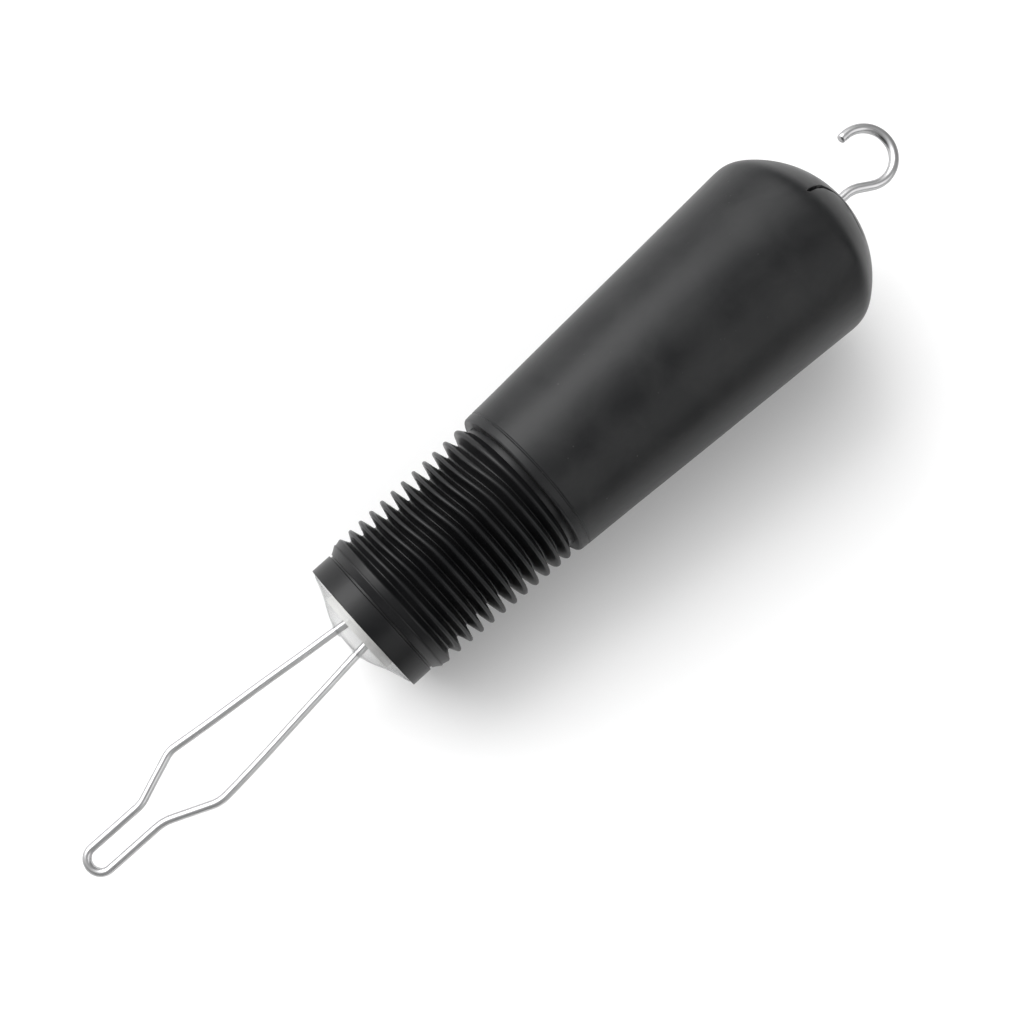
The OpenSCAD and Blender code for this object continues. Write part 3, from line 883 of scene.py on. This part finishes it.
# inner pieces keep their own shape and only get a finish
for node, finish in (("core_tube", anchorPlastic), ("loop_anchor", anchorPlastic),
                     ("hook_anchor", anchorPlastic), ("loop_ferrule", ferruleSteel),
                     ("hook_ferrule", ferruleSteel)):
    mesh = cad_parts[node].data
    mesh.materials.clear()
    mesh.materials.append(finish)


stage = {
    "reach": 3.0,                         # metres from the middle to the floor's edge
    "restX": (6.6 * mm, 95.4 * mm),       # where the first fin and the shoulder touch it
    "restDrop": (13.1 * mm, 17.8 * mm),
    "tone": (0.92, 0.92, 0.92, 1),
    "roughness": 0.9,
}


def makeFloor():
    # the tool rests on its first fin and its shoulder, so the floor leans by the same angle
    (frontX, backX), (frontDrop, backDrop) = stage["restX"], stage["restDrop"]
    slope = (backDrop - frontDrop) / (backX - frontX)
    half = stage["reach"]
    corners = [(x, y, -frontDrop - slope * (x - frontX)) for x, y in
               ((-half, -half), (half, -half), (half, half), (-half, half))]
    mesh = bpy.data.meshes.new("floor")
    mesh.from_pydata(corners, [], [(0, 1, 2, 3)])
    mesh.materials.append(newMaterial("floor", Base_Color=stage["tone"],
                                      Roughness=stage["roughness"])[0])
    floor = bpy.data.objects.new("floor", mesh)
    bpy.context.collection.objects.link(floor)


light = {
    "key": (-8, 38),                      # degrees from +Y towards +X, and above the floor
    "keySize": (1.3, 0.85),
    "keyLevel": 3.2,
    "fill": (158, 42),
    "fillSize": (1.3, 1.15),
    "fillLevel": 1.25,
    "distance": 1.5,
    "target": (30 * mm, 0, 0),            # the middle of the tool, which both panels face
    "glow": ((0.0, 0.38), (0.74, 0.36), (0.82, 0.55), (0.88, 1.0), (0.93, 2.0), (0.97, 3.2),
             (1.0, 3.8)),                 # nearness to the key's direction, and level of the sky there
}


def towards(turn, height):
    # the unit vector at an angle from +Y towards +X and an angle above the floor
    turn, height = math.radians(turn), math.radians(height)
    level = math.cos(height)
    return Vector((math.sin(turn) * level, math.cos(turn) * level, math.sin(height)))


def makeSky():
    # even and dim, with a broad glow round the key; the level follows (1 + cosine of the angle
    # between a direction and the key's) / 2
    world = bpy.data.worlds.new("studio")
    world.use_nodes = True
    tree = world.node_tree
    direction = addNode(tree, "TexCoord").outputs["Generated"]
    nearness = addNode(tree, "VectorMath", operation="DOT_PRODUCT")
    tree.links.new(direction, nearness.inputs[0])
    nearness.inputs[1].default_value = towards(*light["key"])
    half = addNode(tree, "Math", operation="MULTIPLY_ADD")
    tree.links.new(nearness.outputs["Value"], half.inputs[0])
    half.inputs[1].default_value = 0.5
    half.inputs[2].default_value = 0.5
    tree.links.new(ramp(tree, half.outputs["Value"], *light["glow"]),
                   tree.nodes["Background"].inputs["Color"])
    bpy.context.scene.world = world
    bpy.context.scene.view_settings.view_transform = "Standard"


def softBox(name, way, size, level):
    # a lit panel that faces the middle of the tool; its power is level * pi * area
    data = bpy.data.lights.new(name, "AREA")
    data.shape = "RECTANGLE"
    data.size, data.size_y = size
    data.energy = level * math.pi * size[0] * size[1]
    lamp = bpy.data.objects.new(name, data)
    lamp.location = Vector(light["target"]) + light["distance"] * way
    lamp.rotation_mode = "QUATERNION"
    lamp.rotation_quaternion = (-way).to_track_quat("-Z", "Y")
    bpy.context.collection.objects.link(lamp)


makeFloor()
makeSky()
softBox("keyPanel", towards(*light["key"]), light["keySize"], light["keyLevel"])
softBox("fillPanel", towards(*light["fill"]), light["fillSize"], light["fillLevel"])
print("lights made")
